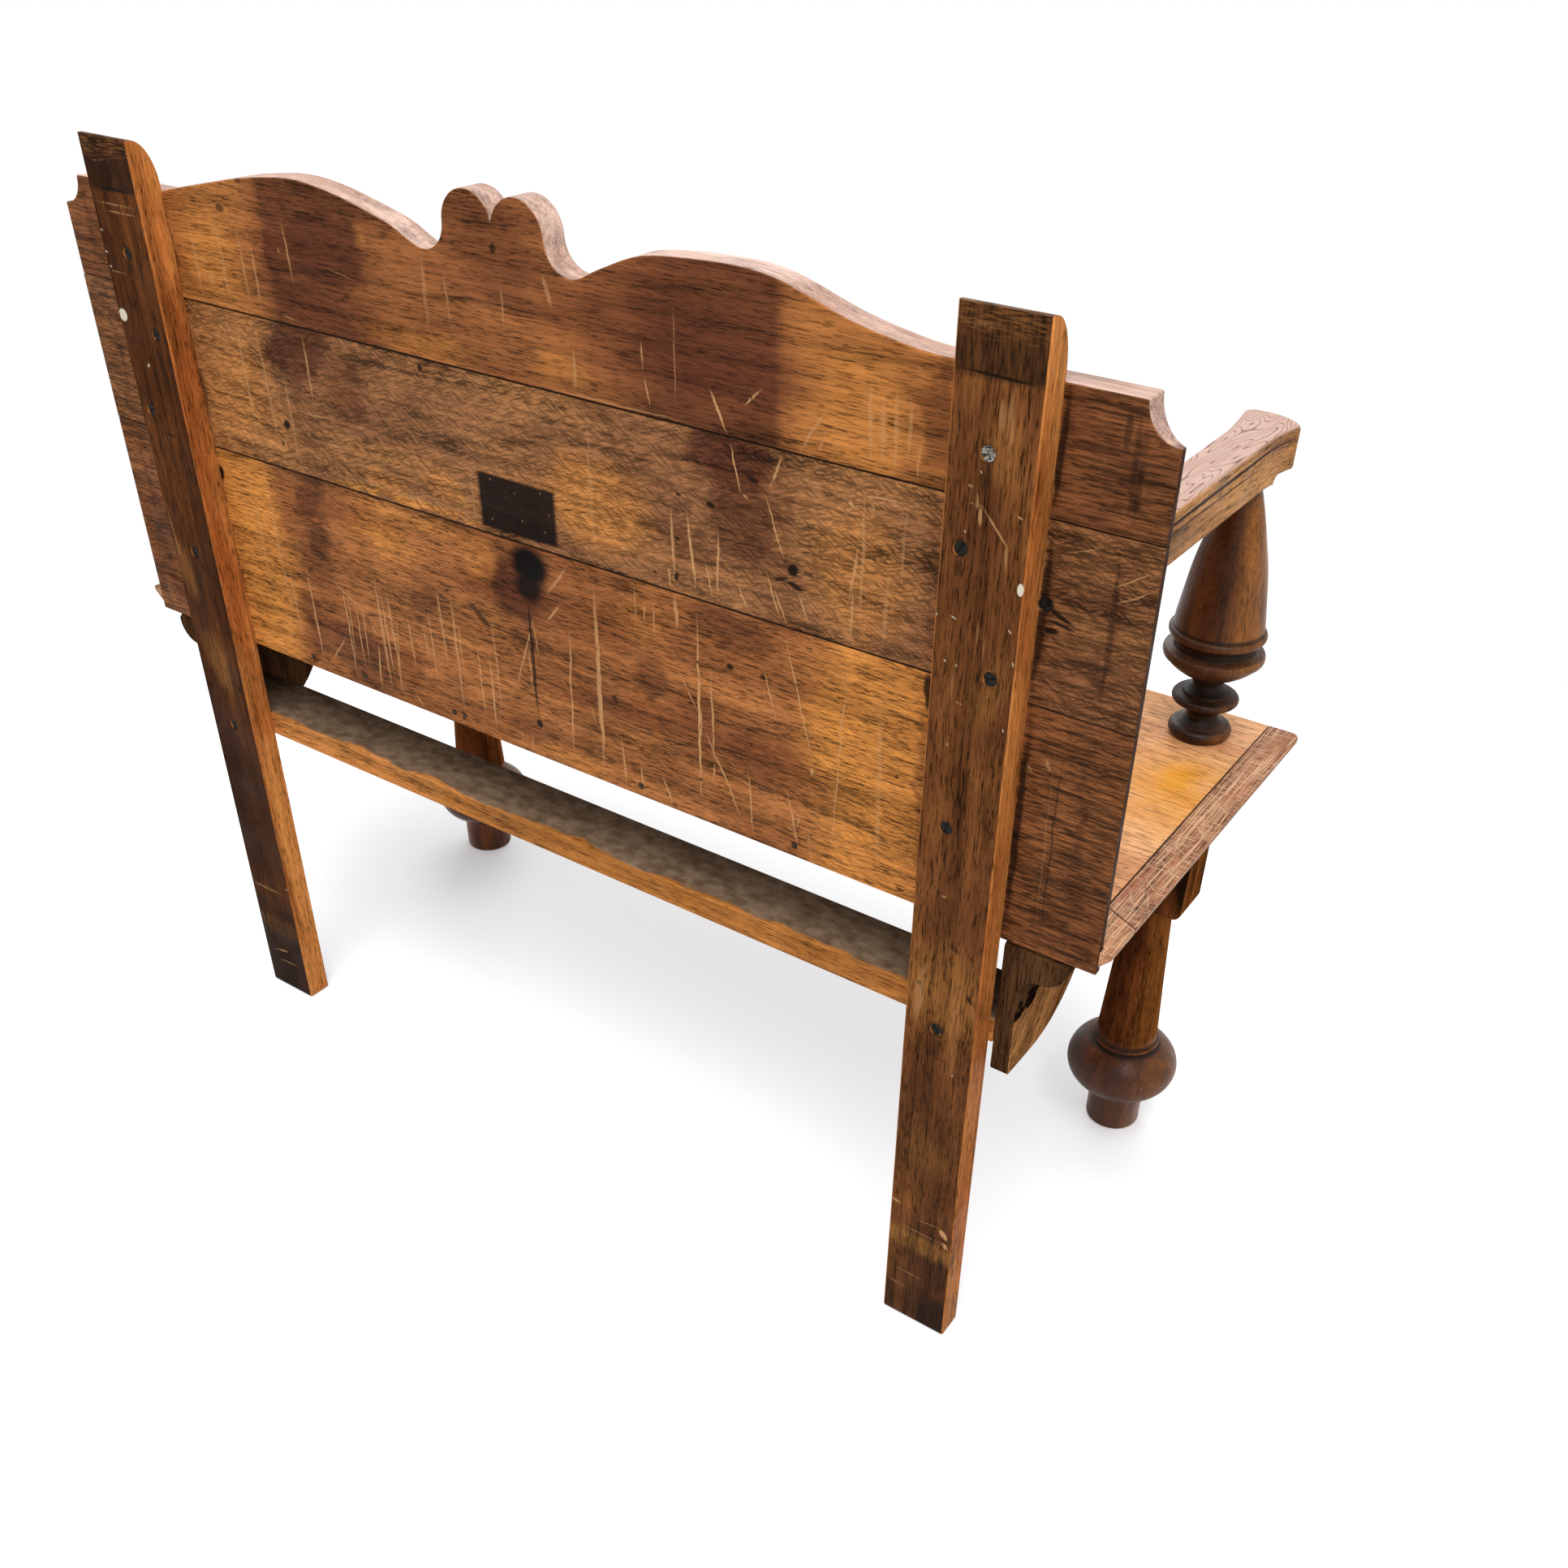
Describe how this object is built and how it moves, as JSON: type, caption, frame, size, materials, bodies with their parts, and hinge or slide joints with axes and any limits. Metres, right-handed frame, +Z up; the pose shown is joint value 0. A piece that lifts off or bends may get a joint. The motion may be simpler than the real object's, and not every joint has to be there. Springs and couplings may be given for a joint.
{
  "type": "hall settle",
  "caption": "Small oak hall settle with a scroll-sawn plank back on two flat rear posts, arms on turned supports and turned front legs.",
  "frame": {"origin": "on the floor, under the middle of the object's bounding box", "axes": "+X to the right as seen from the front, -Y towards the front, +Z up"},
  "size_m": [1.096, 0.432, 0.9144],
  "materials": {
    "post_oak": "satin",
    "back_oak": "satin",
    "middle_oak": "satin",
    "seat_oak": "satin",
    "seat_end_oak": "satin",
    "patch_oak": "satin",
    "rail_oak": "satin",
    "bracket_oak": "satin",
    "apron_oak": "satin",
    "turned_oak": "satin",
    "arm_oak": "satin",
    "screw_steel": "satin",
    "nail_iron": "matte"
  },
  "bodies": {
    "root": {"rear_post_left": "post_oak", "rear_post_right": "post_oak", "back_board_top": "back_oak", "back_board_middle": "middle_oak", "back_board_bottom": "back_oak", "seat_board": "seat_oak", "seat_end_left": "seat_end_oak", "seat_end_patch": "patch_oak", "seat_end_right": "seat_end_oak", "rear_rail": "rail_oak", "corner_bracket_left": "bracket_oak", "corner_bracket_right": "bracket_oak", "side_apron_left": "apron_oak", "side_apron_right": "apron_oak", "front_apron": "apron_oak", "front_leg_left": "turned_oak", "front_leg_right": "turned_oak", "arm_left": "arm_oak", "arm_right": "arm_oak", "arm_support_left": "turned_oak", "arm_support_right": "turned_oak", "post_screws": "screw_steel", "arm_screws": "screw_steel", "panel_nails": "nail_iron"}
  },
  "joints": []
}
